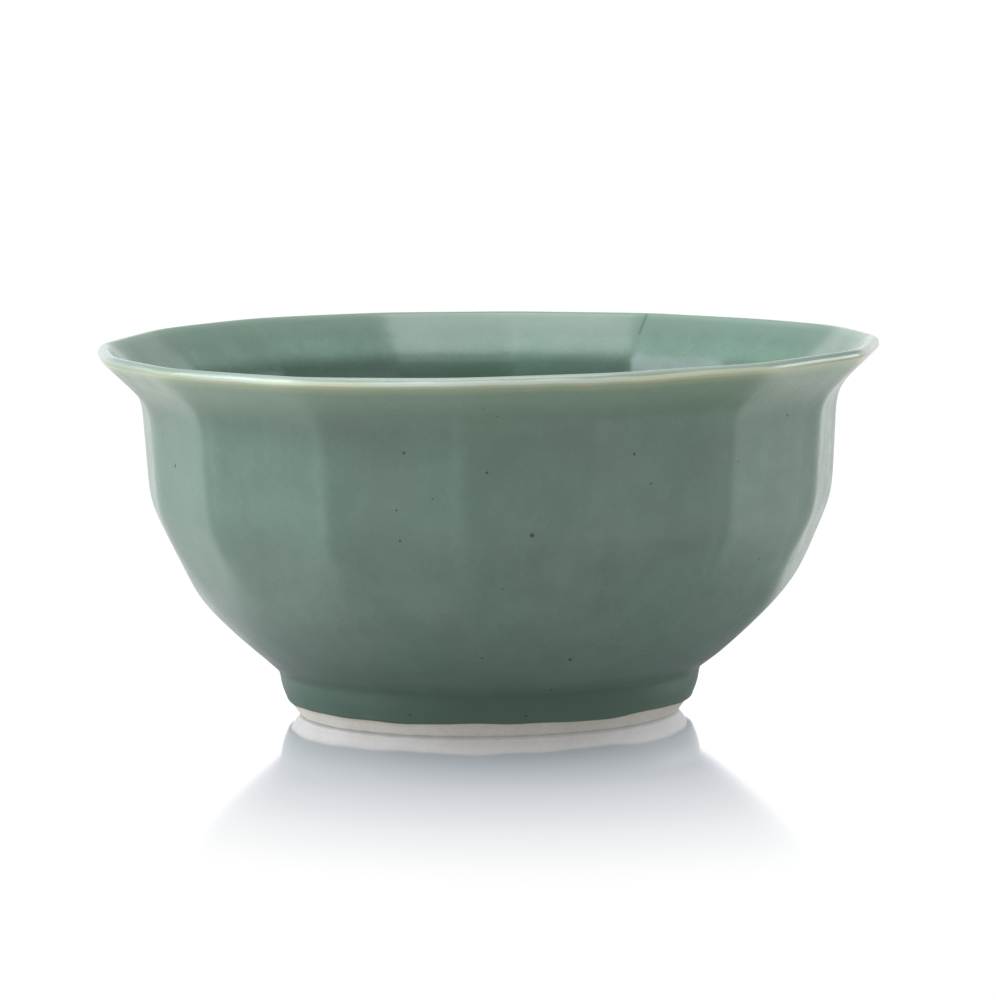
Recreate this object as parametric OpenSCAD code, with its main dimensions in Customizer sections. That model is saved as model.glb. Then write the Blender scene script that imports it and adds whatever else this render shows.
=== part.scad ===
// Faceted brush washer: a wide celadon bowl with upright facets, a flaring lip and a turned foot ring.
// The finished surface is the glaze. Each coat is a thin solid that meets the clay under it face to face.
// Heights run up from the table, and the widths of the faceted parts are taken across opposite corners.

/* [Bowl] */
// Width of the open mouth, across the outermost corners of the lip
rim_d = 150; // [140:1:160]
// Height from the table to the top of the lip
bowl_h = 71; // [66:1:80]
// Number of flat facets round the wall
facets = 16; // [16:4:24]
// Width at the neck, where the upright wall starts to flare
neck_d = 133.6; // [131:0.2:136]
// Width at the knee, where the upright wall turns in to the belly
knee_d = 130.6; // [126:0.2:133]
// Height of the knee
knee_z = 41.2; // [38:0.2:44]
// Width at the bend, where the belly turns in more steeply
bend_d = 114.6; // [112:0.2:118]
// Height of the bend
bend_z = 24.6; // [22:0.2:28]
// How far the belly swells between the knee and the bend
upper_bulge = 0.3; // [0.1:0.1:1.5]
// How far the belly swells between the bend and the crease
lower_bulge = 0.5; // [0.1:0.1:1.5]

/* [Lip] */
// Lean of the flaring lip, in degrees away from upright
flare = 45; // [40:1:56]
// Radius of the hollow curve under the lip
cove_r = 4.6; // [3:0.1:8]
// Thickness of the lip, which ends in a full round
lip_t = 2.4; // [1.8:0.1:3.2]
// Height of the pale band round the edge of the lip
lip_band = 2.2; // [1.6:0.1:3]

/* [Wall and floor] */
// Thickness of the upright wall, glaze included
wall_t = 2.9; // [2.4:0.1:4]
// Height of the inside floor
floor_z = 14; // [13:0.5:18]
// Width of the flat part of the inside floor
floor_d = 60; // [40:1:66]
// How far the inside of the belly swells beyond a straight line from the floor to the knee
inside_bulge = 6.9; // [5:0.1:8]

/* [Foot] */
// Width of the bowl at the crease above the foot
crease_d = 82.4; // [82:0.2:90]
// Height of the crease
crease_z = 8.6; // [7.5:0.1:10]
// Width of the foot just under the crease
foot_top_d = 80.2; // [76:0.2:80.2]
// Width of the foot near the table
foot_base_d = 73.6; // [70:0.2:75]
// How far the side of the foot swells
foot_bulge = 1.0; // [0.2:0.1:1.2]
// Width of the flat ring that stands on the table
contact_w = 2.6; // [2:0.1:4]
// Radius that eases both edges of the standing ring
foot_edge_r = 0.7; // [0.4:0.1:1]
// Width of the hollow inside the foot ring, at the top
well_d = 64; // [56:1:66]

/* [Glaze] */
// Thickness of every coat of glaze
glaze_t = 0.4; // [0.3:0.05:0.6]
// Height of the line where the outside glaze stops on the foot
glaze_line_z = 2.4; // [1.8:0.1:3.5]
// Height of the line where the glaze stops inside the foot ring
well_line_z = 3; // [2:0.1:4]

/* [Hidden] */

glaze_colour = [0.42, 0.52, 0.46];
inside_colour = [0.47, 0.57, 0.50];
lip_colour = [0.80, 0.82, 0.66];
clay_colour = [0.87, 0.85, 0.80];

// Flat strips to a curve: each half of the belly, the inside of the belly, the cove under the lip,
// the rounded edges and the side of the foot
belly_steps = 4;
inside_steps = 9;
cove_steps = 5;
round_steps = 5;
foot_steps = 6;
// Fineness of the turned parts
turned_fn = 180;
// Margin by which a cutting solid runs past what it cuts
over = 5;

rim_r = rim_d / 2;
neck_r = neck_d / 2;
knee_r = knee_d / 2;
bend_r = bend_d / 2;
crease_r = crease_d / 2;
floor_r = floor_d / 2;
foot_top_r = foot_top_d / 2;
foot_base_r = foot_base_d / 2;
well_r = well_d / 2;
// Centre of the round along the edge of the lip
lip_c = [rim_r - lip_t / 2, bowl_h - lip_t / 2];
// Square to the flaring lip, pointing out and down
lip_n = [cos(flare), -sin(flare)];
// The clay foot stops at this height, against the flat underside of the clay bowl
clay_base_z = crease_z + glaze_t;
lip_line_z = bowl_h - lip_band;

// Points along a circle about c, from angle a0 to angle a1
function arc(c, r, a0, a1, steps) =
    [for (i = [0:steps]) let (a = a0 + (a1 - a0) * i / steps) c + r * [cos(a), sin(a)]];

// Points along a circular arc from a to b, which swells to its right-hand side by the given bulge
function bulged(a, b, bulge, steps) =
    let (
        half = norm(b - a) / 2,
        along = (b - a) / (2 * half),
        right = [along[1], -along[0]],
        r = (half * half + bulge * bulge) / (2 * bulge),
        centre = (a + b) / 2 + right * (bulge - r),
        sweep = asin(half / r)
    )
    [for (i = [0:steps])
        let (t = sweep * (2 * i / steps - 1))
        centre + r * (right * cos(t) + along * sin(t))];

function reversed(points) = [for (i = [len(points) - 1:-1:0]) points[i]];

function without_first(points) = [for (i = [1:len(points) - 1]) points[i]];

// Unit vector square to the line from a to b, on its left
function left_of(a, b) = let (d = (b - a) / norm(b - a)) [-d[1], d[0]];

// An open outline moved to its left by t, with mitred corners
function moved(points, t) =
    let (last = len(points) - 1)
    [for (i = [0:last])
        let (
            before = left_of(points[max(i - 1, 0)], points[max(i, 1)]),
            after = left_of(points[min(i, last - 1)], points[min(i + 1, last)])
        )
        points[i] + t * (before + after) / (1 + before * after)];

// Height at which a side of the wall starts to flare, so that its slope runs on into the round of the lip.
// side is 1 for the outside and -1 for the inside.
function flare_start_z(r, curve_r, side) =
    (r * cos(flare) - curve_r * (1 - cos(flare)) - lip_c * lip_n - side * lip_t / 2) / sin(flare);

// The curve from the upright wall, at radius r, to the slope of the lip
function flare_curve(r, curve_r, side) =
    arc([r + curve_r, flare_start_z(r, curve_r, side)], curve_r, 180, 180 - flare, cove_steps);

// The outside, from the axis under the floor up to the very top of the lip
outside = concat(
    [[0, crease_z]],
    bulged([crease_r, crease_z], [bend_r, bend_z], lower_bulge, belly_steps),
    without_first(bulged([bend_r, bend_z], [knee_r, knee_z], upper_bulge, belly_steps)),
    flare_curve(neck_r, cove_r, 1),
    arc(lip_c, lip_t / 2, -flare, 90, round_steps)
);

// The inside, from the very top of the lip down to the axis on the floor
inside = concat(
    arc(lip_c, lip_t / 2, 90, 180 - flare, 2),
    reversed(flare_curve(neck_r - wall_t, cove_r + wall_t, -1)),
    reversed(bulged([floor_r, floor_z], [knee_r - wall_t, knee_z], inside_bulge, inside_steps)),
    [[0, floor_z]]
);

// Both sides as one outline moved into the clay by t, then split again at the very top of the lip
top_index = len(outside) - 1;
whole = concat(outside, without_first(inside));
function outer_half(t) = let (p = moved(whole, t)) [for (i = [0:top_index]) p[i]];
function inner_half(t) =
    let (p = moved(whole, t))
    concat([p[top_index] + [0, over]], [for (i = [top_index:len(p) - 1]) p[i]]);

// Outside of the foot from top to bottom, moved in by t
function foot_side(t) =
    moved(reversed(bulged([foot_base_r, foot_edge_r], [foot_top_r, crease_z], foot_bulge, foot_steps)), -t);

// The flat standing ring, and the wall of the hollow inside it
stand_out_r = foot_side(glaze_t)[foot_steps][0] - foot_edge_r;
stand_in_r = stand_out_r - contact_w;
function well_wall_r(z) = lookup(z, [[foot_edge_r, stand_in_r - foot_edge_r], [clay_base_z, well_r]]);

// A solid with flat facets, from half an outline that ends on the axis. Its x is the radius of the corners.
module faceted(half_outline) {
    flat = [for (p = half_outline) [p[0] * cos(180 / facets), p[1]]];
    mirrored = [for (p = reversed(flat)) if (p[0] > 0) [-p[0], p[1]]];
    intersection_for (i = [0:facets / 2 - 1])
        rotate([90, 0, i * 360 / facets])
            linear_extrude(height = 2 * rim_d, center = true)
                polygon(concat(flat, mirrored));
}

// The wall and floor with their surfaces moved in by t: 0 for the finished bowl, glaze_t for its clay
module wall(t) {
    difference() {
        faceted(outer_half(t));
        faceted(inner_half(t));
    }
}

// A wide disc from the table up to height z, which parts one zone of the bowl from the next
module zone_below(z) {
    cylinder(r = rim_d, h = z, $fn = turned_fn);
}

// Clay bowl with its floor, its facets inside and out, and its lip
module bowl_body() {
    color(clay_colour)
        wall(glaze_t);
}

// Ring of clay under the floor, with eased edges to its flat standing surface
module foot_ring() {
    color(clay_colour)
        rotate_extrude($fn = turned_fn)
            polygon(concat(
                [[foot_top_r - glaze_t, clay_base_z]],
                foot_side(glaze_t),
                arc([stand_out_r, foot_edge_r], foot_edge_r, 0, -90, round_steps),
                arc([stand_in_r, foot_edge_r], foot_edge_r, -90, -180, round_steps),
                [[well_r, clay_base_z]]
            ));
}

// Coat on the side of the foot, from the glaze line up to the clay of the bowl
module foot_coat() {
    rotate_extrude($fn = turned_fn)
        intersection() {
            polygon(concat(
                [[foot_top_r, clay_base_z]],
                foot_side(0),
                reversed(foot_side(glaze_t)),
                [[foot_top_r - glaze_t, clay_base_z]]
            ));
            translate([0, glaze_line_z])
                square([rim_r, clay_base_z - glaze_line_z]);
        }
}

// Coat on the outside of the wall, from the lip to the crease, and on the foot below it
module outer_glaze() {
    color(glaze_colour) {
        difference() {
            intersection() {
                faceted(outer_half(0));
                zone_below(lip_line_z);
            }
            faceted(outer_half(glaze_t));
            cylinder(r = foot_top_r - glaze_t, h = clay_base_z, $fn = turned_fn);
        }
        foot_coat();
    }
}

// Thin pale coat over the edge of the lip, where the glaze has run off the clay
module lip_glaze() {
    color(lip_colour)
        difference() {
            wall(0);
            wall(glaze_t);
            zone_below(lip_line_z);
        }
}

// Coat on the inside of the wall and on the floor
module inner_glaze() {
    color(inside_colour)
        difference() {
            intersection() {
                faceted(inner_half(glaze_t));
                zone_below(lip_line_z);
            }
            faceted(inner_half(0));
        }
}

// Coat under the floor and down the inside of the foot ring
module foot_well_glaze() {
    color(glaze_colour)
        rotate_extrude($fn = turned_fn)
            polygon([
                [0, clay_base_z],
                [well_r, clay_base_z],
                [well_wall_r(well_line_z), well_line_z],
                [well_wall_r(well_line_z) - glaze_t, well_line_z],
                [well_r - glaze_t, clay_base_z - glaze_t],
                [0, clay_base_z - glaze_t]
            ]);
}

bowl_body();
foot_ring();
outer_glaze();
lip_glaze();
inner_glaze();
foot_well_glaze();
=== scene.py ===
import math

import bpy
import numpy as np
from mathutils import Matrix, Vector


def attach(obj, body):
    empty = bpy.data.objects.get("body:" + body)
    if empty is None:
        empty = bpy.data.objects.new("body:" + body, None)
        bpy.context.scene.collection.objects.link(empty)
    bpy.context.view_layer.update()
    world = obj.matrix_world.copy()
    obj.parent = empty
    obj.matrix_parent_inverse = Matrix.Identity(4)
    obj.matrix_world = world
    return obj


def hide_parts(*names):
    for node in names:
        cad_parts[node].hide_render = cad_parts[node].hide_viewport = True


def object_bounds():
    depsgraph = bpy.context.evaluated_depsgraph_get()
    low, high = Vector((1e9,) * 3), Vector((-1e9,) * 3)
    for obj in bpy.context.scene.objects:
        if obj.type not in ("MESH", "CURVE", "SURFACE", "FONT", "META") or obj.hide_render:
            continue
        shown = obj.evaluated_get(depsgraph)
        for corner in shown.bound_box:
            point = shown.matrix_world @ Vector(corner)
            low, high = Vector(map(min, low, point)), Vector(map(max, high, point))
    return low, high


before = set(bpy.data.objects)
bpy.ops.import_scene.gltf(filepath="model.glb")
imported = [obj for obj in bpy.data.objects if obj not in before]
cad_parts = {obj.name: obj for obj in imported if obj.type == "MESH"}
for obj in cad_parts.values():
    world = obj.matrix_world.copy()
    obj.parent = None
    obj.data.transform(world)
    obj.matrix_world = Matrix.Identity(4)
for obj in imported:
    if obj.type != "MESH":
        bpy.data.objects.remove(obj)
CAD_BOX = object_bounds()

# A faceted celadon bowl on a polished white table, in a light tent. One outline is swept round the axis to
# give one glazed surface with sixteen soft facets. Every coat of glaze is a slice of that surface, with the
# clay behind it.

# ---- sizes ------------------------------------------------------------------------------------------
# In millimetres until a mesh is made, as in the CAD source. The bowl stands on z = 0.

MM = 0.001
FACETS = 16
FLAT = math.cos(math.pi / FACETS)          # a facet's distance from the axis over its corners'
ROUNDING = 0.25                            # how far a melted corner lies inside the CAD's sharp one
TOP = CAD_BOX[1][2] / MM                   # height of the lip
RIM_R = CAD_BOX[1][0] / MM / FLAT - ROUNDING   # the CAD's box touches the facets, not their corners
NECK_R, KNEE_R, BEND_R = 66.8 - ROUNDING, 65.65 - ROUNDING, 57.7 - ROUNDING
KNEE_Z, BEND_Z = 40.6, 24.6
CREASE_R, CREASE_Z = 40.6, 8.6
FLARE = math.radians(45)                   # lean of the lip away from upright
COVE_R = 4.6                               # hollow curve under the lip
LIP_T, WALL_T, GLAZE_T = 2.4, 2.9, 0.4
FLOOR_R, FLOOR_Z = 30.0, 14.0              # flat part of the inside floor
LOWER_BULGE, UPPER_BULGE = 0.5, 0.05       # swell of the belly below and above the bend
INSIDE_BULGE = 6.9                         # and of its inside
FOOT_TOP_R, FOOT_BASE_R, FOOT_BULGE = 40.3, 37.0, 0.75
FOOT_EDGE_R, CONTACT_W, WELL_R = 0.5, 2.6, 32.0
FOOT_ASIDE = 0.35                          # how far the foot sits off the axis, to the camera's left
GLAZE_LINE_Z, WELL_LINE_Z = 2.4, 3.0       # where the glaze stops outside and inside the foot
CLAY_BASE_Z = CREASE_Z + GLAZE_T
LIP_BAND = 2.2                             # height of the pale coat on the edge of the lip
# Where the outside glaze stops higher, and where the lip stands higher or lower: degrees to the right of
# the front, half-width in degrees, and height in mm
SHORT_RUNS = [(8, 20, 0.55), (58, 16, 0.6), (-48, 12, 0.35)]
LIP_WAVES = [(-144, 32, 0.75), (-28, 38, -0.55)]

VIEW_TURN = math.radians(-6.45)            # azimuth of the camera's right
FRONT = VIEW_TURN - math.pi / 2            # and of the side that faces the camera

AROUND = FACETS * 24                       # mesh columns round the bowl
# Powers that round the facets in facet_factor: a plain circle, and corners on the wall and at the lip
ROUND, WALL_CORNERS, LIP_CORNERS = 14, 230, 75
# Degrees by which each facet lies off its even place, from the one on the +X side onwards
HAND_CUT = np.array([7.0, 5.5, -1.0, 2.0, -0.5, -1.0, -2.5, -1.0,
                     0.0, -2.9, -0.4, 1.0, 0.0, 0.4, 3.8, 6.8])
HAND_REACH = np.zeros(FACETS)              # share by which each facet stands further out
HAND_REACH[[0, -1]] = 0.006


def hand_turned(angle):
    """The same angle, moved on with the facet it lies in, which was cut a little off its even place."""
    k = np.arange(FACETS)
    moved = 0.5 * np.sin(2.4 * k + 0.6) + HAND_CUT
    return angle + np.interp(angle, 2 * math.pi * k / FACETS, np.radians(moved), period=2 * math.pi)


def crowded_columns():
    """Angles of the columns, closer together at the corners of the facets than in the middle."""
    t = np.arange(AROUND) * FACETS / AROUND
    even = (t + 0.6 * np.sin(2 * math.pi * t) / (2 * math.pi)) * 2 * math.pi / FACETS
    return hand_turned(even)


COLUMNS = crowded_columns()


# ---- outlines ---------------------------------------------------------------------------------------

def arc(centre, r, start, end, steps=24):
    """Points along a circle, angles in radians."""
    a = np.linspace(start, end, steps + 1)
    return np.column_stack([centre[0] + r * np.cos(a), centre[1] + r * np.sin(a)])


def bulged(a, b, bulge, steps=24):
    """Points along a circular arc from a to b, which swells to its right-hand side."""
    a, b = np.array(a, float), np.array(b, float)
    half = np.linalg.norm(b - a) / 2
    along = (b - a) / (2 * half)
    right = np.array([along[1], -along[0]])
    r = (half * half + bulge * bulge) / (2 * bulge)
    t = math.asin(half / r) * np.linspace(-1, 1, steps + 1)[:, None]
    return (a + b) / 2 + right * (bulge - r) + r * (right * np.cos(t) + along * np.sin(t))


def flare_curve(r, curve_r, side):
    """From the upright wall at radius r to the slope of the lip. side is 1 outside and -1 inside."""
    lip_c = np.array([RIM_R - LIP_T / 2, TOP - LIP_T / 2])
    lip_n = np.array([math.cos(FLARE), -math.sin(FLARE)])
    z = r * math.cos(FLARE) - curve_r * (1 - math.cos(FLARE)) - lip_c @ lip_n - side * LIP_T / 2
    return arc((r + curve_r, z / math.sin(FLARE)), curve_r, math.pi, math.pi - FLARE)


def lengths(points):
    return np.concatenate([[0], np.cumsum(np.linalg.norm(np.diff(points, axis=0), axis=1))])


def spaced(points, step):
    """The same outline with points an even distance apart."""
    s = lengths(points)
    even = np.linspace(0, s[-1], int(round(s[-1] / step)) + 1)
    return np.column_stack([np.interp(even, s, points[:, i]) for i in (0, 1)])


def softened(points, step, spread):
    """Rounds corners as melted glaze does. spread is the width of the rounding at each point, in mm."""
    points = points.copy()
    passes = int(2 * (spread.max() / step) ** 2)
    free = 0.5 * (spread[1:-1, None] / spread.max()) ** 2
    for _ in range(passes):
        points[1:-1] += free * ((points[:-2] + points[2:]) / 2 - points[1:-1])
    return points


def finished_outline(step=0.1):
    """Radius and height along the glazed surface, from the foot over the lip to the middle of the floor."""
    lip_c = (RIM_R - LIP_T / 2, TOP - LIP_T / 2)
    outline = spaced(np.vstack([
        bulged((FOOT_BASE_R, FOOT_EDGE_R), (FOOT_TOP_R, CREASE_Z), FOOT_BULGE),
        bulged((CREASE_R, CREASE_Z + 0.3), (BEND_R, BEND_Z), LOWER_BULGE),
        bulged((BEND_R, BEND_Z), (KNEE_R, KNEE_Z), UPPER_BULGE),
        flare_curve(NECK_R, COVE_R, 1),
        arc(lip_c, LIP_T / 2, -FLARE, math.pi - FLARE),
        flare_curve(NECK_R - WALL_T, COVE_R + WALL_T, -1)[::-1],
        bulged((FLOOR_R, FLOOR_Z), (KNEE_R - WALL_T, KNEE_Z), INSIDE_BULGE)[::-1],
        [[0.0, FLOOR_Z]],
    ]), step)
    crease, bend, knee, cove, lip = 0.6, 4.0, 2.8, 2.0, 0.15
    heights = [10, 18, 30, 35, 50, TOP - 14, TOP - 7, TOP - 3]
    spread = np.interp(outline[:, 1], heights, [crease, bend, bend, knee, knee, cove, cove, lip])
    return softened(outline, step, spread)


OUTLINE = finished_outline()
ALONG = lengths(OUTLINE)                   # distance of each outline point from the foot
APEX = ALONG[np.argmax(OUTLINE[:, 1])]     # the very top of the lip
END = ALONG[-1]                            # the middle of the floor


def height_at(s):
    return np.interp(s, ALONG, OUTLINE[:, 1])


def along_at_height(z, inside=False):
    """Distance along the outline at which it reaches height z."""
    part = (ALONG > APEX) if inside else (ALONG <= APEX)
    order = np.argsort(OUTLINE[part, 1])
    return float(np.interp(z, OUTLINE[part, 1][order], ALONG[part][order]))


# ---- surface ----------------------------------------------------------------------------------------

def ramp(x, low, high):
    t = np.clip((x - low) / (high - low), 0, 1)
    return t * t * (3 - 2 * t)


def crispness(s):
    """Power that rounds the facets: crisp on the wall, softer at the lip, and a plain circle low down."""
    z = height_at(s)
    facets = np.where(s > APEX, ramp(z, 20, 46), ramp(z, 12, 42))
    lip = ramp(-np.abs(s - APEX), -13, -2)
    circle, wall, rim = np.log([ROUND, WALL_CORNERS, LIP_CORNERS])
    return np.exp(circle + facets * (wall + lip * (rim - wall) - circle))


def facet_factor(s, angle):
    """Radius over the radius at a facet's corner. Low on the belly the facets lie nearer to even places."""
    k = np.arange(FACETS)
    even = 2 * math.pi * k / FACETS
    astray = 1 - 0.6 * ramp(-height_at(s), -KNEE_Z, -BEND_Z)[..., None]
    aim = even + astray * (hand_turned(even) - even)
    reach = 1 + 0.0012 * np.sin(1.9 * k + 2.1) + HAND_REACH
    power = crispness(s)[..., None]
    facing = np.clip(np.cos(angle[..., None] - aim), 1e-6, None) / reach
    # The same sum at a corner between even facets, so that the factor is 1 there
    turn = (np.arange(-3, 5) - 0.5) * 2 * math.pi / FACETS
    corner = (np.cos(turn) ** power).sum(-1)
    return ((facing ** power).sum(-1) / corner) ** (-1 / power[..., 0])


def bearing(angle):
    """The same angle within half a turn of 0."""
    return (angle + math.pi) % (2 * math.pi) - math.pi


def swells(angle, places):
    """Sum of soft swells round the bowl, in mm. places is a list like SHORT_RUNS."""
    total = 0 * angle
    for turn, half_width, height in places:
        beside = np.degrees(bearing(angle - FRONT - math.radians(turn)))
        total = total + height * np.exp(-(beside / half_width) ** 2)
    return total


def unevenness(s, angle):
    """Small lean and swell of a bowl made by hand: change of radius and of height, in mm."""
    z = height_at(s)
    wall = ramp(z, CREASE_Z, 30)
    swell = 0.10 * np.sin(2 * angle + 0.7) + 0.07 * np.sin(3 * angle + z / 22)
    swell += 0.05 * np.sin(7 * angle - z / 9)
    lean_right = 0.25 * np.exp(-((z - 27) / 6) ** 2) * np.cos(angle - VIEW_TURN)
    lift = 0.15 + 0.05 * np.sin(5 * angle + 1.0) + swells(angle, LIP_WAVES)
    return wall * (swell + lean_right), ramp(z, 45, TOP) * lift


def aside(z):
    """The foot was turned a little off the axis of the bowl: its offset at height z."""
    move = -FOOT_ASIDE * ramp(-z, -12, -CREASE_Z)
    return move * math.cos(VIEW_TURN), move * math.sin(VIEW_TURN)


def surface(s, angle):
    """Points of the glazed surface, in mm, for outline distances s and angles of the same shape."""
    swell, lift = unevenness(s, angle)
    flat = np.interp(s, ALONG, OUTLINE[:, 0])
    r = flat * facet_factor(s, angle) + swell * np.clip(flat / FLOOR_R, 0, 1)
    x, y = aside(height_at(s))
    return np.stack([x + r * np.cos(angle), y + r * np.sin(angle), height_at(s) + lift], -1)


def normals(s, angle):
    """Unit vectors that point out of the clay."""
    ds, da = 0.15, 0.002
    up = surface(np.minimum(s + ds, END), angle) - surface(np.maximum(s - ds, 0), angle)
    on = surface(s, angle + da) - surface(s, angle - da)
    n = np.cross(on, up)
    size = np.linalg.norm(n, axis=-1, keepdims=True)
    return np.where(size > 1e-9, n / np.maximum(size, 1e-9), [0.0, 0.0, 1.0])


# ---- meshes -----------------------------------------------------------------------------------------

def band_corners(low, high):
    """Corners of the faces between a ring of low points and one of high points, each as the ring it is on,
    0 or 1, and its places round it. A ring of one point is a pole."""
    here = np.arange(max(low, high))
    on = (here + 1) % len(here)
    pole = 0 * here
    if low == 1:
        return [(0, pole), (1, on), (1, here)]
    if high == 1:
        return [(0, here), (0, on), (1, pole)]
    return [(0, here), (0, on), (1, on), (1, here)]


def flat_normals(points, index):
    """The normal of each face, once for each of its corners."""
    first = points[index[:, 0]]
    flat = np.cross(points[index[:, 1]] - first, points[index[:, -1]] - first)
    flat /= np.maximum(np.linalg.norm(flat, axis=1, keepdims=True), 1e-12)
    return np.repeat(flat[:, None], index.shape[1], 1)


def ring_mesh(name, rings, ring_normals, caps, closed, values=None):
    """A piece made of rings of points in mm, each joined to the next and, if closed, the last to the first.
    caps lists the bands whose faces are flat ends. values maps an attribute's name to one array a ring."""
    starts = np.cumsum([0] + [len(r) for r in rings])
    points = np.vstack(rings)
    faces, normal_rows = [], []
    for band in range(len(rings) if closed else len(rings) - 1):
        pair = (band, (band + 1) % len(rings))
        corners = band_corners(*[len(rings[i]) for i in pair])
        index = np.stack([starts[pair[side]] + place for side, place in corners], 1)
        shade = np.stack([ring_normals[pair[side]][place] for side, place in corners], 1)
        if band in caps:
            shade = flat_normals(points, index)
        faces += index.tolist()
        normal_rows.append(shade.reshape(-1, 3))
    mesh = bpy.data.meshes.new(name)
    mesh.from_pydata((points * MM).tolist(), [], faces)
    mesh.shade_smooth()
    mesh.normals_split_custom_set(np.vstack(normal_rows).tolist())
    for key, per_ring in (values or {}).items():
        layer = mesh.attributes.new(key, "FLOAT", "POINT")
        layer.data.foreach_set("value", np.concatenate(per_ring).astype(np.float32))
    piece = bpy.data.objects.new(name, mesh)
    bpy.context.scene.collection.objects.link(piece)
    return piece


def marks_at(s, angle):
    """Values for the glaze shader: distance from the top of the lip in mm, below 0 outside and above 0
    inside; painted light that makes the lip paler on the side that faces the camera; how much has run
    off a corner of the facets, with the corners taken at their even places; and how much glaze has
    pooled at the crease and in the hollow inside, together with painted shade low on the belly, on the foot
    and inside."""
    k = (angle / (2 * math.pi) * FACETS + 0.5) % 1
    from_corner = np.minimum(k, 1 - k) * 2 * math.pi / FACETS * np.interp(s, ALONG, OUTLINE[:, 0])
    sharp = np.clip(np.log(crispness(s) / ROUND) / np.log(WALL_CORNERS / ROUND), 0, 1)
    z = height_at(s)
    # Painted shade low on the belly and on the foot, and at the crease on top of glaze pooled there
    low = 0.45 * ramp(-z, -26, -12) + 0.25 * ramp(-z, -16, -9) + 0.25 * ramp(-z, -9.5, -7.5)
    crease = 0.15 * np.exp(-((z - CREASE_Z) / 1.5) ** 2)
    # Inside below the lip: glaze pooled in the hollow, with painted shade
    hollow = 0.8 * ramp(-z, -(TOP - 6.5), -(TOP - 9.5))
    pool_and_shade = np.where(s > APEX, hollow, low + crease)
    return {
        "lip_distance": s - APEX,
        # Painted light: 1 on the side of the lip that faces the camera, falling to 0 towards the sides
        "lit_front": ramp(np.cos(angle - FRONT), 0.45, 0.95),
        "thin": sharp * np.exp(-((from_corner / 1.4) ** 2)),
        "pool_and_shade": np.clip(pool_and_shade, 0, 1),
    }


def coat(name, s, depth, back_step=4):
    """A closed coat of glaze over the rows of s, which holds one outline distance a row and column.
    depth is the thickness of each row. A last row at the middle of the floor closes in a pole."""
    angle = np.broadcast_to(COLUMNS, s.shape)
    face, out = surface(s, angle), normals(s, angle)
    front = face - (GLAZE_T - depth)[:, None, None] * out
    back = face - GLAZE_T * out
    slope = np.gradient(depth, s.mean(1))[:, None, None]
    along = surface(np.minimum(s + 0.1, END), angle) - surface(np.maximum(s - 0.1, 0), angle)
    lean = out - slope * along / np.linalg.norm(along, axis=-1, keepdims=True)
    lean /= np.linalg.norm(lean, axis=-1, keepdims=True)
    ahead = list(range(len(s)))
    behind = sorted(set(range(0, len(s), back_step)) | {len(s) - 1}, reverse=True)
    order = ahead + behind
    rings = [front[i] for i in ahead] + [back[i] for i in behind]
    shades = [lean[i] for i in ahead] + [-out[i] for i in behind]
    marks = {key: [row[i] for i in order] for key, row in marks_at(s, angle).items()}
    last = len(s) - 1
    if s[-1, 0] < END - 1e-6:
        return ring_mesh(name, rings, shades, {last, len(rings) - 1}, True, marks)

    def from_pole(values):
        """The back and then the front, each closed to a point in the middle of the floor."""
        return [values[last + 1][:1]] + values[last + 2:] + values[:last] + [values[last][:1]]

    marks = {key: from_pole(row) for key, row in marks.items()}
    return ring_mesh(name, from_pole(rings), from_pole(shades), {len(behind) - 1}, False, marks)


# ---- pieces of glaze and clay -----------------------------------------------------------------------

def rows(start, end, step):
    """Even distances from start to end, no more than step apart."""
    return np.linspace(start, end, int(math.ceil((end - start) / step)) + 1)


def grid(distances):
    """The same distances in every column."""
    return np.repeat(np.asarray(distances)[:, None], AROUND, 1)


LIP_OUT = along_at_height(TOP - LIP_BAND)
LIP_IN = along_at_height(TOP - LIP_BAND, inside=True)
WALL_START = along_at_height(CREASE_Z + 0.2)   # the clay wall starts just above the crease


def run_line(distances, line, angle):
    """The same rows with the lowest ones moved, so that the glaze stops in a slightly wavy line."""
    wave = 0.20 * np.sin(2 * angle + 1.0) + 0.12 * np.sin(6 * angle + 0.3)
    wave += 0.11 * np.sin(13 * angle) + 0.06 * np.sin(22 * angle + 2.0) + swells(angle, SHORT_RUNS)
    keep = np.exp(-(distances - line) / 1.5)
    return grid(distances) + keep[:, None] * wave


def bead(distances, line):
    """Thickness of a coat that ends in a rounded bead at line."""
    u = np.abs(distances - line)
    return GLAZE_T * (1 - 0.85 * np.exp(-u / 0.16)) + 0.07 * np.exp(-((u - 0.8) / 0.45) ** 2)


def outside_coat():
    line = along_at_height(GLAZE_LINE_Z)
    near = rows(line, line + 2.4, 0.12)
    s = np.concatenate([near[:-1], rows(near[-1], LIP_OUT, 0.55)])
    return coat("celadon_outside", run_line(s, line, COLUMNS), bead(s, line))


def lip_coat():
    s = rows(LIP_OUT, LIP_IN, 0.15)
    return coat("celadon_lip", grid(s), np.full(len(s), GLAZE_T))


def inside_coat():
    s = rows(LIP_IN, END, 0.6)
    return coat("celadon_inside", grid(s), np.full(len(s), GLAZE_T))


def turned(name, profile, closed):
    """A closed round piece from an outline of (radius, height) points with its outside on the left."""
    profile = np.asarray(profile, float)
    side = np.roll(profile, -1, 0) - np.roll(profile, 1, 0)
    side[0] = side[0] if closed else profile[1] - profile[0]
    side[-1] = side[-1] if closed else profile[-1] - profile[-2]
    side /= np.linalg.norm(side, axis=1, keepdims=True)
    rings, shades = [], []
    for (r, z), (dr, dz) in zip(profile, side):
        angle = COLUMNS if r > 0 else COLUMNS[:1]
        c, n = np.cos(angle), np.sin(angle)
        x, y = aside(z)
        rings.append(np.column_stack([x + r * c, y + r * n, np.full(len(angle), z)]))
        shades.append(np.column_stack([dz * c, dz * n, np.full(len(angle), -dr)]))
    return ring_mesh(name, rings, shades, set(), closed)


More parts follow.
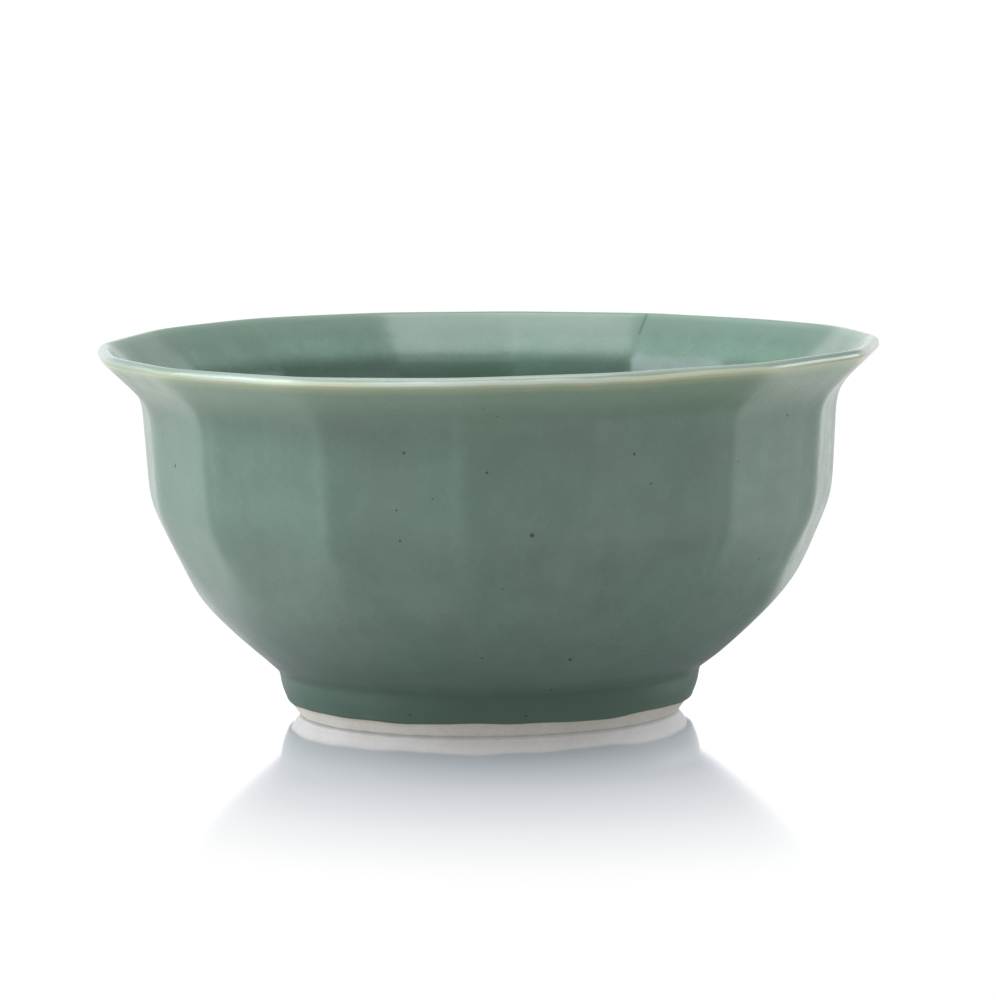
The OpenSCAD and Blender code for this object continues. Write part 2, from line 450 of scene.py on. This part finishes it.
def clay_wall():
    """The clay between the coats. Only its outline matters, as the glaze hides all of it."""
    s = np.concatenate([
        rows(WALL_START, LIP_OUT - 3, 1.1)[:-1],
        rows(LIP_OUT - 3, LIP_IN + 3, 0.3)[:-1],
        rows(LIP_IN + 3, END, 1.1),
    ])
    angle = np.broadcast_to(COLUMNS, (len(s), AROUND))
    out = normals(grid(s), angle)
    points = surface(grid(s), angle) - GLAZE_T * out
    points[0, :, 2] = CLAY_BASE_Z
    rings = [np.array([[0.0, 0.0, CLAY_BASE_Z]]), *points[:-1], points[-1][:1]]
    shades = [np.array([[0.0, 0.0, -1.0]]), *out[:-1], out[-1][:1]]
    return ring_mesh("clay_wall", rings, shades, {0}, False)


def foot_clay():
    """Ring of bare clay that the bowl stands on."""
    side = bulged((FOOT_BASE_R, FOOT_EDGE_R), (FOOT_TOP_R, CREASE_Z), FOOT_BULGE, 16) - [GLAZE_T, 0]
    stand_out = side[0][0] - FOOT_EDGE_R
    stand_in = stand_out - CONTACT_W
    edge_out = arc((stand_out, FOOT_EDGE_R), FOOT_EDGE_R, -math.pi / 2, 0, 8)
    edge_in = arc((stand_in, FOOT_EDGE_R), FOOT_EDGE_R, -math.pi, -math.pi / 2, 8)
    well = [[WELL_R, CLAY_BASE_Z]]
    top = [[side[-1][0], CLAY_BASE_Z]]
    outline = np.vstack([well, edge_in, edge_out[:-1], side, top])
    return turned("foot_clay", spaced(np.vstack([outline, outline[:1]]), 0.35)[:-1], True)


def well_coat():
    """Coat on the underside of the floor and down the inside of the foot ring."""
    well_base_r = FOOT_BASE_R - GLAZE_T - 2 * FOOT_EDGE_R - CONTACT_W
    wall_at = np.interp(WELL_LINE_Z, [FOOT_EDGE_R, CLAY_BASE_Z], [well_base_r, WELL_R])
    round_r = 1.6
    face = [
        [0, CLAY_BASE_Z], [WELL_R, CLAY_BASE_Z], [wall_at, WELL_LINE_Z],
        [wall_at - 0.12, WELL_LINE_Z], [wall_at - GLAZE_T, WELL_LINE_Z + 0.35],
    ]
    cove = arc((WELL_R - GLAZE_T - round_r, CLAY_BASE_Z - GLAZE_T - round_r), round_r, 0, math.pi / 2, 10)
    return turned("celadon_foot_well", np.vstack([face, cove, [[0, CLAY_BASE_Z - GLAZE_T]]])[::-1], False)


# Each piece: the function that builds it, the CAD node it replaces, and its slot
PIECES = {
    "clay_wall": (clay_wall, "bowl_body", "stoneware_clay"),
    "foot_clay": (foot_clay, "foot_ring", "stoneware_clay"),
    "celadon_outside": (outside_coat, "outer_glaze", "celadon_outside"),
    "celadon_lip": (lip_coat, "lip_glaze", "celadon_lip"),
    "celadon_inside": (inside_coat, "inner_glaze", "celadon_inside"),
    "celadon_foot_well": (well_coat, "foot_well_glaze", "celadon_foot_well"),
}


def build_pieces():
    made = {}
    for name, (build, node, slot) in PIECES.items():
        piece = build()
        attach(piece, "root")
        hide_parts(node)
        made[name] = piece
    return made


# ---- materials --------------------------------------------------------------------------------------

class Tree:
    """A material's nodes, each added in one short call that gives back its output socket."""

    def __init__(self, owner):
        owner.use_nodes = True
        self.nodes = owner.node_tree.nodes
        self.links = owner.node_tree.links
        self.nodes.clear()

    def add(self, kind, inputs=(), out=0, **settings):
        node = self.nodes.new(kind)
        for key, value in settings.items():
            setattr(node, key, value)
        for key, value in dict(inputs).items():
            if isinstance(value, bpy.types.NodeSocket):
                self.links.new(value, node.inputs[key])
            else:
                node.inputs[key].default_value = value
        return node.outputs[out]

    def math(self, operation, a, b):
        return self.add("ShaderNodeMath", {0: a, 1: b}, operation=operation)

    def times(self, a, b):
        return self.math("MULTIPLY", a, b)

    def place(self):
        return self.add("ShaderNodeTexCoord", out="Object")

    def coordinate(self, axis):
        return self.add("ShaderNodeSeparateXYZ", {0: self.place()}, axis)

    def distance(self, start, end):
        return self.add("ShaderNodeVectorMath", {0: start, 1: end}, "Value", operation="DISTANCE")

    def along(self, vector, direction):
        """How far vector reaches along direction."""
        return self.add("ShaderNodeVectorMath", {0: vector, 1: direction}, "Value", operation="DOT_PRODUCT")

    def stretched(self, scale):
        return self.add("ShaderNodeVectorMath", {0: self.place(), 1: scale}, operation="MULTIPLY")

    def noise(self, size_mm, detail, where=None):
        """Soft noise from about 0.3 to 0.7, with blobs about size_mm across."""
        scale = 1 / (size_mm * MM)
        inputs = {"Vector": where or self.place(), "Scale": scale, "Detail": detail}
        return self.add("ShaderNodeTexNoise", inputs)

    def span(self, value, low, high, start=0.0, end=1.0, smooth=True):
        kind = "SMOOTHSTEP" if smooth else "LINEAR"
        numbers = {"Value": value, "From Min": low, "From Max": high, "To Min": start, "To Max": end}
        return self.add("ShaderNodeMapRange", numbers, interpolation_type=kind)

    def mark(self, name):
        return self.add("ShaderNodeAttribute", out="Fac", attribute_name=name)

    def mix(self, factor, a, b, blend="MIX"):
        colours = {0: factor, 6: full(a), 7: full(b)}
        return self.add("ShaderNodeMix", colours, 2, data_type="RGBA", blend_type=blend)

    def toned(self, colour, factor):
        """The colour made paler or darker by a factor."""
        tone = self.add("ShaderNodeCombineXYZ", {0: factor, 1: factor, 2: factor})
        return self.mix(1.0, colour, tone, "MULTIPLY")

    def bands(self, value, stops):
        """Colour along value, through (position, colour) stops."""
        low, high = stops[0][0], stops[-1][0]
        even = self.span(value, low, high, smooth=False)
        socket = self.add("ShaderNodeValToRGB", {0: even})
        elements = socket.node.color_ramp.elements
        for _ in stops[2:]:
            elements.new(0.5)
        for element, (at, colour) in zip(elements, stops):
            element.position = (at - low) / (high - low)
            element.color = full(colour)
        return socket

    def bump(self, height, depth_mm, below=None):
        values = {"Height": height, "Distance": depth_mm * MM, "Strength": 1.0}
        if below:
            values["Normal"] = below
        return self.add("ShaderNodeBump", values)

    def finish(self, shader, kind="ShaderNodeOutputMaterial"):
        self.links.new(shader, self.nodes.new(kind).inputs["Surface"])


def grey(value):
    return (value, value, value, 1)


def full(colour):
    return colour if isinstance(colour, bpy.types.NodeSocket) or len(colour) == 4 else (*colour, 1)


# Reflectances, linear
CELADON_GREEN = (0.189, 0.298, 0.231)
CELADON_GREY = (0.200, 0.294, 0.240)
CELADON_THIN = (0.27, 0.385, 0.32)
# Deep glaze colour for pooled glaze and the hairline, also used as painted shade
CELADON_POOLED_AND_SHADE = (0.060, 0.118, 0.084)
# Glaze under the flare: thinner, with painted light from the table below
CELADON_THIN_AND_LIT_NEAR_LIP = (0.310, 0.450, 0.335)
# Pale, cream and yellow lip colours: the front of the lip with painted light and a painted highlight
LIP_PALE_LIT = (0.45, 0.55, 0.47)
LIP_CREAM_LIT = (0.86, 0.94, 0.81)
LIP_YELLOW_LIT = (0.86, 0.94, 0.68)
LIP_THIN = (0.31, 0.41, 0.35)
LIP_DULL = (0.43, 0.51, 0.38)
LIP_TAN = (0.60, 0.68, 0.44)
LIP_OLIVE = (0.47, 0.58, 0.38)
LIP_PINK = (0.74, 0.62, 0.48)
IRON = (0.030, 0.040, 0.028)
CLAY_CREAM = (0.68, 0.65, 0.59)
CLAY_PALE = (0.72, 0.70, 0.65)
# Painted shade where the foot stands on the table
CLAY_CONTACT_SHADE = (0.30, 0.27, 0.23)
CLAY_BLUSH = (0.66, 0.47, 0.30)

# Iron specks that can be picked out: degrees to the right of the front, then height and size in mm.
# The last ten, on the back, are made up.
SPECKS = [
    (-64.0, 51.0, 0.62), (-13.5, 56.5, 0.46), (-0.2, 52.8, 0.40), (24.0, 55.2, 0.46), (7.0, 41.0, 0.66),
    (-15.0, 45.8, 0.32), (-14.7, 40.1, 0.36), (-9.0, 48.0, 0.26), (27.2, 49.6, 0.32), (2.2, 30.9, 0.28),
    (-1.8, 16.8, 0.34), (17.5, 15.9, 0.56), (16.3, 9.3, 0.36), (-22.0, 4.5, 0.30), (10.0, 4.3, 0.34),
    (-13.0, 9.9, 0.28), (56.0, 32.7, 0.42), (58.0, 59.5, 0.46), (44.0, 52.3, 0.30), (1.5, 63.3, 0.26),
    (112.0, 51.0, 0.50), (171.0, 33.0, 0.56), (-151.0, 47.0, 0.40), (-118.0, 61.0, 0.42),
    (-97.0, 30.0, 0.36), (140.0, 22.0, 0.44), (-170.0, 58.0, 0.32), (-134.0, 20.0, 0.34),
    (156.0, 46.0, 0.30), (93.0, 39.0, 0.38),
]


def speck_places():
    """Points on the outside for the specks above, in metres, with their radii."""
    places = []
    for degrees, z, size in SPECKS:
        angle = FRONT + math.radians(degrees)
        point = surface(np.array([along_at_height(z)]), np.array([angle]))[0] * MM
        places.append((tuple(point), size / 2 * MM))
    return places


def specks(tree, named):
    """1 on an iron speck and 0 elsewhere: scattered pin-pricks, and the named larger ones."""
    cells = {"Vector": tree.place(), "Scale": 1 / (4.2 * MM), "Randomness": 1.0}
    near = tree.add("ShaderNodeTexVoronoi", cells, "Distance")
    chance = tree.add("ShaderNodeSeparateColor", {0: near.node.outputs["Color"]}, "Red")
    radius = tree.span(chance, 0.3, 1.0, 0.0, 0.045, smooth=False)
    found = tree.span(tree.math("SUBTRACT", near, radius), -0.02, 0.02, 0.5, 0.0)
    for centre, r in named:
        gap = tree.distance(tree.place(), centre)
        found = tree.math("MAXIMUM", found, tree.span(gap, 0.6 * r, 1.7 * r, 0.95, 0.0))
    return found


# A fine dark line in the glaze, that runs from the back of the lip a little way down inside
HAIRLINE_TURN = VIEW_TURN + math.radians(90 - 26.3)
HAIRLINE_SPAN = np.array([0.8, 5.8])       # from and to, as distances from the top of the lip in mm
HAIRLINE_R, HAIRLINE_DEPTH = 0.34, 0.42    # half of its width in mm, and how dark it is


def hairline_ends():
    ends = surface(APEX + HAIRLINE_SPAN, np.full(2, HAIRLINE_TURN)) * MM
    return tuple(ends[0]), tuple(ends[1])


def near_line(tree, start, end, r):
    """1 within r of the line from start to end, and 0 further away."""
    start, end = Vector(start), Vector(end)
    from_start = tree.add("ShaderNodeVectorMath", {0: tree.place(), 1: start}, operation="SUBTRACT")
    step = (end - start) / (end - start).length_squared
    share = tree.span(tree.along(from_start, step), 0, 1, smooth=False)
    nearest = tree.add("ShaderNodeVectorMath", {0: end - start, "Scale": share}, operation="SCALE")
    return tree.span(tree.distance(from_start, nearest), 0.4 * r, 1.4 * r, 1.0, 0.0)


def mottled(t):
    """Green and greyer patches, cloudy, streaked and grainy, and a little paler under the lip inside, as
    painted light.
    """
    colour = t.mix(t.span(t.noise(22, 2), 0.35, 0.65), CELADON_GREEN, CELADON_GREY)
    cloudy = t.span(t.noise(8, 3), 0.3, 0.7, 0.955, 1.045)
    streaks = t.span(t.noise(3.2, 2, t.stretched((1.0, 1.0, 0.22))), 0.3, 0.7, 0.985, 1.015)
    grainy = t.span(t.noise(0.9, 2), 0.3, 0.7, 0.975, 1.025)
    down_inside = t.mark("lip_distance")
    # Painted light on the inside wall below the lip
    painted_light_under_lip = t.times(t.span(down_inside, 4, 9), t.span(down_inside, 17, 23, 1.0, 0.0))
    painted_lighter = t.span(painted_light_under_lip, 0, 1, 1.0, 1.12, smooth=False)
    return t.toned(colour, t.times(t.times(t.times(cloudy, streaks), grainy), painted_lighter))


def run_pooled_and_shaded(t, colour):
    """Paler where the glaze has run off a corner of the facets, and darker where it has pooled and where
    painted shade falls.
    """
    uneven = t.span(t.noise(5, 2), 0.3, 0.7, 0.3, 1.0)
    colour = t.mix(t.times(t.mark("thin"), t.times(uneven, 0.45)), colour, CELADON_THIN)
    # Darker with pooled glaze and painted shade
    return t.mix(t.times(t.mark("pool_and_shade"), 0.75), colour, CELADON_POOLED_AND_SHADE)


def lip_colour(t, at):
    """The thin glaze over the lip, where at is the distance from its top: olive and tan bands with a little
    pink under the outer edge, cream to yellow along that edge, and pale on top. The cream, yellow and pale
    are painted light and a painted highlight on the side that faces the camera; at the sides the edge is
    duller and the top a thinner green."""
    # Painted highlight along the edge in front, duller at the sides
    arris = t.mix(t.span(t.noise(30, 1), 0.42, 0.55), LIP_CREAM_LIT, LIP_YELLOW_LIT)
    arris = t.mix(t.mark("lit_front"), LIP_DULL, arris)
    lip_top = t.mix(t.mark("lit_front"), LIP_THIN, LIP_PALE_LIT)
    colour = t.bands(at, [(-2.9, LIP_OLIVE), (-2.4, LIP_TAN), (-2.0, LIP_TAN)])
    colour = t.mix(t.span(at, -2.4, -2.0), colour, lip_top)
    on_arris = t.times(t.span(at, -2.35, -2.0), t.span(at, -1.15, -1.5))
    colour = t.mix(on_arris, colour, arris)
    bare = t.span(t.noise(12, 1, t.stretched((1.0, 1.0, 0.5))), 0.53, 0.62)
    worn = t.times(t.span(at, -3.1, -2.7), t.span(at, -2.0, -2.4))
    return t.mix(t.times(t.times(worn, bare), 0.4), colour, LIP_PINK)


def with_lip(t, colour, at):
    """The glaze turns paler towards the lip, where it is thinner and where painted light from the table
    below falls under the flare, and takes the lip's own colours at its edge.
    """
    # Thinner glaze and painted light under the flare
    thin_and_lit_near_lip = t.times(t.span(at, -15.0, -4.5), t.span(at, 2.5, 0.5))
    colour = t.mix(thin_and_lit_near_lip, colour, CELADON_THIN_AND_LIT_NEAR_LIP)
    outside = t.span(at, -5.0, -2.6)
    inside = t.times(t.span(at, -0.2, 1.0, 1.0, 0.35), t.span(at, 2.0, 7.0, 1.0, 0.0))
    return t.mix(t.times(outside, inside), colour, lip_colour(t, at))


def satin(t, at):
    """Roughness of the glaze: glassier over the lip than inside, and duller on the foot."""
    roughness = t.span(t.noise(4, 3), 0.3, 0.7, 0.22, 0.30)
    glassy = t.times(t.span(at, -4.0, -2.0, 1.0, 0.75), t.span(at, 4.0, 8.0, 1.0, 1.333))
    on_foot = t.span(t.coordinate("Z"), 7 * MM, 10 * MM, 0.14, 0.0)
    return t.math("ADD", t.times(roughness, glassy), on_foot)


def celadon(name, named_specks=(), hairline=None):
    """Satin green glaze: mottled, thin and pale where it has run off an edge, deep where it has pooled,
    with painted shade low on the bowl and inside, and painted light on and near the lip.
    """
    material = bpy.data.materials.new(name)
    t = Tree(material)
    wander = t.span(t.noise(16, 2), 0.3, 0.7, -0.22, 0.22, smooth=False)
    at = t.math("ADD", t.mark("lip_distance"), wander)
    colour = with_lip(t, run_pooled_and_shaded(t, mottled(t)), at)
    colour = t.mix(specks(t, named_specks), colour, IRON)
    if hairline:
        line = t.times(near_line(t, *hairline, HAIRLINE_R * MM), HAIRLINE_DEPTH)
        colour = t.mix(line, colour, CELADON_POOLED_AND_SHADE)
    peel = t.bump(t.noise(2.4, 2), 0.014)
    waves = t.bump(t.noise(14, 1, t.stretched((1.0, 1.0, 3.0))), 0.16, peel)
    t.finish(t.add("ShaderNodeBsdfPrincipled", {
        "Base Color": colour, "Roughness": satin(t, at), "IOR": 1.46, "Normal": waves,
    }))
    return material


def bare_clay(name):
    """Unglazed biscuit: cream stoneware with a fine sandy grain, with painted shade where it meets the
    table, and painted light on the left and painted shade to the right."""
    material = bpy.data.materials.new(name)
    t = Tree(material)
    colour = t.mix(t.span(t.noise(8, 3), 0.35, 0.65), CLAY_CREAM, CLAY_PALE)
    grain = t.span(t.noise(0.9, 2), 0.3, 0.7, 0.96, 1.03)
    # Painted light on the left and painted shade on the right
    colour = t.toned(colour, t.times(grain, t.span(t.coordinate("X"), -0.04, 0.02, 1.2, 0.86)))
    wander = t.span(t.noise(3, 2), 0.3, 0.7, -0.08 * MM, 0.08 * MM, smooth=False)
    height = t.math("ADD", t.coordinate("Z"), wander)
    # Painted shade along the edge that stands on the table
    colour = t.mix(t.span(height, 0.1 * MM, 0.55 * MM, 0.55, 0.0), colour, CLAY_CONTACT_SHADE)
    colour = t.mix(t.span(height, 1.5 * MM, 2.5 * MM, 0.0, 0.2), colour, CLAY_BLUSH)
    sandy = t.bump(t.noise(2.5, 2), 0.05, t.bump(t.noise(0.4, 3), 0.03))
    roughness = t.span(t.noise(1.5, 2), 0.3, 0.7, 0.68, 0.85)
    t.finish(t.add("ShaderNodeBsdfPrincipled", {
        "Base Color": colour, "Roughness": roughness, "IOR": 1.45, "Normal": sandy,
    }))
    return material


def mirror_floor(name):
    """White studio table that glows, polished so that what stands on it is seen in it, less so further
    away and at the sides. Near the bowl it has a painted bluish tint and a painted soft contact shadow.
    In the glaze's own reflections the table mirrors less and has a painted soft shadow."""
    material = bpy.data.materials.new(name)
    t = Tree(material)
    flat = t.add("ShaderNodeVectorMath", {0: t.place(), 1: (1.6, 1, 0)}, operation="MULTIPLY")
    away = t.add("ShaderNodeVectorMath", {0: flat}, "Value", operation="LENGTH")
    near = t.bands(away, [
        (0.0, grey(0.93)), (0.045, grey(0.88)), (0.06, grey(0.72)), (0.10, grey(0.43)),
        (0.15, grey(0.18)), (0.185, grey(0.05)), (0.21, grey(0.0)),
    ])
    grazing = t.add("ShaderNodeLayerWeight", {"Blend": 0.5}, "Facing")
    mirrored = t.add("ShaderNodeLightPath", out="Is Glossy Ray")
    share = t.times(near, t.span(grazing, 0.45, 0.84))
    share = t.times(share, t.span(mirrored, 0, 1, 1.0, 0.4))
    # Painted bluish shade near the bowl, plain white further away
    painted_cool_shade = t.mix(t.span(away, 0.05, 0.20), (0.98, 1.0, 1.10), (1.02, 1.02, 1.02))
    to_right = 0.023                       # the shadow lies a little to the camera's right
    shadow_centre = (to_right * math.cos(VIEW_TURN), to_right * math.sin(VIEW_TURN), 0)
    # Painted shadow, seen only in the glaze's reflections
    shaded = t.span(t.distance(t.place(), shadow_centre), 0.05, 0.112, 0.8, 0.0)
    # Painted contact shadow round the foot
    painted_contact_shadow = t.span(away, 0.036, 0.075, 0.16, 0.0)
    lit = t.math("SUBTRACT", 1.0, t.math("MAXIMUM", t.times(shaded, mirrored), painted_contact_shadow))
    white = t.add("ShaderNodeEmission", {"Color": painted_cool_shade, "Strength": lit})
    polish = t.add("ShaderNodeBsdfGlossy", {"Color": (1, 1, 1, 1), "Roughness": 0.08})
    t.finish(t.add("ShaderNodeMixShader", {0: share, 1: white, 2: polish}))
    return material


# ---- studio -----------------------------------------------------------------------------------------

def camera():
    """The photograph's view: from a little above the lip, slightly turned and tilted."""
    data = bpy.data.cameras.new("camera")
    data.sensor_width = 36
    data.lens = 212.7
    data.clip_end = 100
    cam = bpy.data.objects.new("camera", data)
    bpy.context.scene.collection.objects.link(cam)
    bpy.context.scene.camera = cam
    away, high = 1.128, 0.1634
    down, aside, roll = math.radians(6.21), math.radians(0.092), math.radians(0.73)
    cam.matrix_world = (
        Matrix.Translation((away * math.sin(VIEW_TURN), -away * math.cos(VIEW_TURN), high))
        @ Matrix.Rotation(VIEW_TURN - aside, 4, "Z")
        @ Matrix.Rotation(math.pi / 2 - down, 4, "X")
        @ Matrix.Rotation(-roll, 4, "Z")
    )


def floor():
    half = 12
    corners = [(-half, -half, 0), (half, -half, 0), (half, half, 0), (-half, half, 0)]
    mesh = bpy.data.meshes.new("floor")
    mesh.from_pydata(corners, [], [(0, 1, 2, 3)])
    mesh.materials.append(mirror_floor("white_table"))
    ground = bpy.data.objects.new("floor", mesh)
    bpy.context.scene.collection.objects.link(ground)
    ground.visible_diffuse = False         # the glowing table doesn't light the bowl from below


def softbox(name, turn, rise, away, size, brightness, colour):
    """A rectangular light that faces the bowl. turn is counted in degrees from the front to the right,
    rise in degrees above level, and brightness is per unit of area."""
    data = bpy.data.lights.new(name, "AREA")
    data.shape = "RECTANGLE"
    data.size, data.size_y = size
    data.energy = brightness * math.pi * size[0] * size[1]
    data.color = colour
    lamp = bpy.data.objects.new(name, data)
    bpy.context.scene.collection.objects.link(lamp)
    around, up = FRONT + math.radians(turn), math.radians(rise)
    back = Vector((math.cos(around) * math.cos(up), math.sin(around) * math.cos(up), math.sin(up)))
    lamp.location = back * away + Vector((0, 0, TOP / 2 * MM))
    lamp.rotation_mode = "QUATERNION"
    lamp.rotation_quaternion = back.to_track_quat("Z", "Y")


def surroundings():
    """White walls of a light tent up to a little above the table, dimmer above, below and on the camera's
    side. Below the table they are brighter on the left than on the right."""
    world = bpy.data.worlds.new("studio")
    bpy.context.scene.world = world
    t = Tree(world)
    way = t.add("ShaderNodeTexCoord", out="Generated")
    z = t.add("ShaderNodeSeparateXYZ", {0: way}, "Z")
    ceiling = (0.27, 0.28, 0.29)
    colour = t.bands(z, [
        (-1.0, grey(0.45)), (-0.3, grey(0.55)), (-0.04, grey(0.62)), (0.0, grey(1.18)),
        (0.26, grey(1.18)), (0.42, ceiling), (1.0, ceiling),
    ])
    dim_side = FRONT - math.radians(6)
    to_camera = t.along(way, (math.cos(dim_side), math.sin(dim_side), 0))
    walls = t.span(to_camera, 0.72, 0.93, 1.0, 0.22)
    to_right = t.along(way, (math.cos(VIEW_TURN), math.sin(VIEW_TURN), 0))
    tilt = t.span(to_right, -0.8, 0.8, 0.3, -0.22, smooth=False)
    tilt = t.math("ADD", t.times(tilt, t.span(z, -0.12, -0.03, 1.0, 0.0)), 1.0)
    light = t.add("ShaderNodeBackground", {"Color": colour, "Strength": t.times(walls, tilt)})
    t.finish(light, "ShaderNodeOutputWorld")


made = build_pieces()
coats = {
    "celadon_outside": celadon("glaze_outside", speck_places()),
    "celadon_lip": celadon("glaze_lip", hairline=hairline_ends()),
    "celadon_inside": celadon("glaze_inside", hairline=hairline_ends()),
    "celadon_foot_well": celadon("glaze_foot_well"),
}
clay = bare_clay("biscuit")
for name, piece in made.items():
    piece.data.materials.append(coats.get(name, clay))
floor()
camera()
surroundings()
softbox("left", -82, 36, 1.2, (0.7, 0.8), 5.4, (0.90, 0.99, 1.06))
softbox("right", 114, 10, 1.3, (0.6, 0.5), 3.6, (0.92, 0.98, 1.04))
softbox("top", 0, 88, 1.2, (0.7, 0.7), 3.0, (1.0, 1.0, 1.0))
softbox("front", 0, 56, 1.2, (0.7, 0.35), 1.5, (1.0, 1.0, 1.0))
bpy.context.scene.view_settings.view_transform = "Standard"
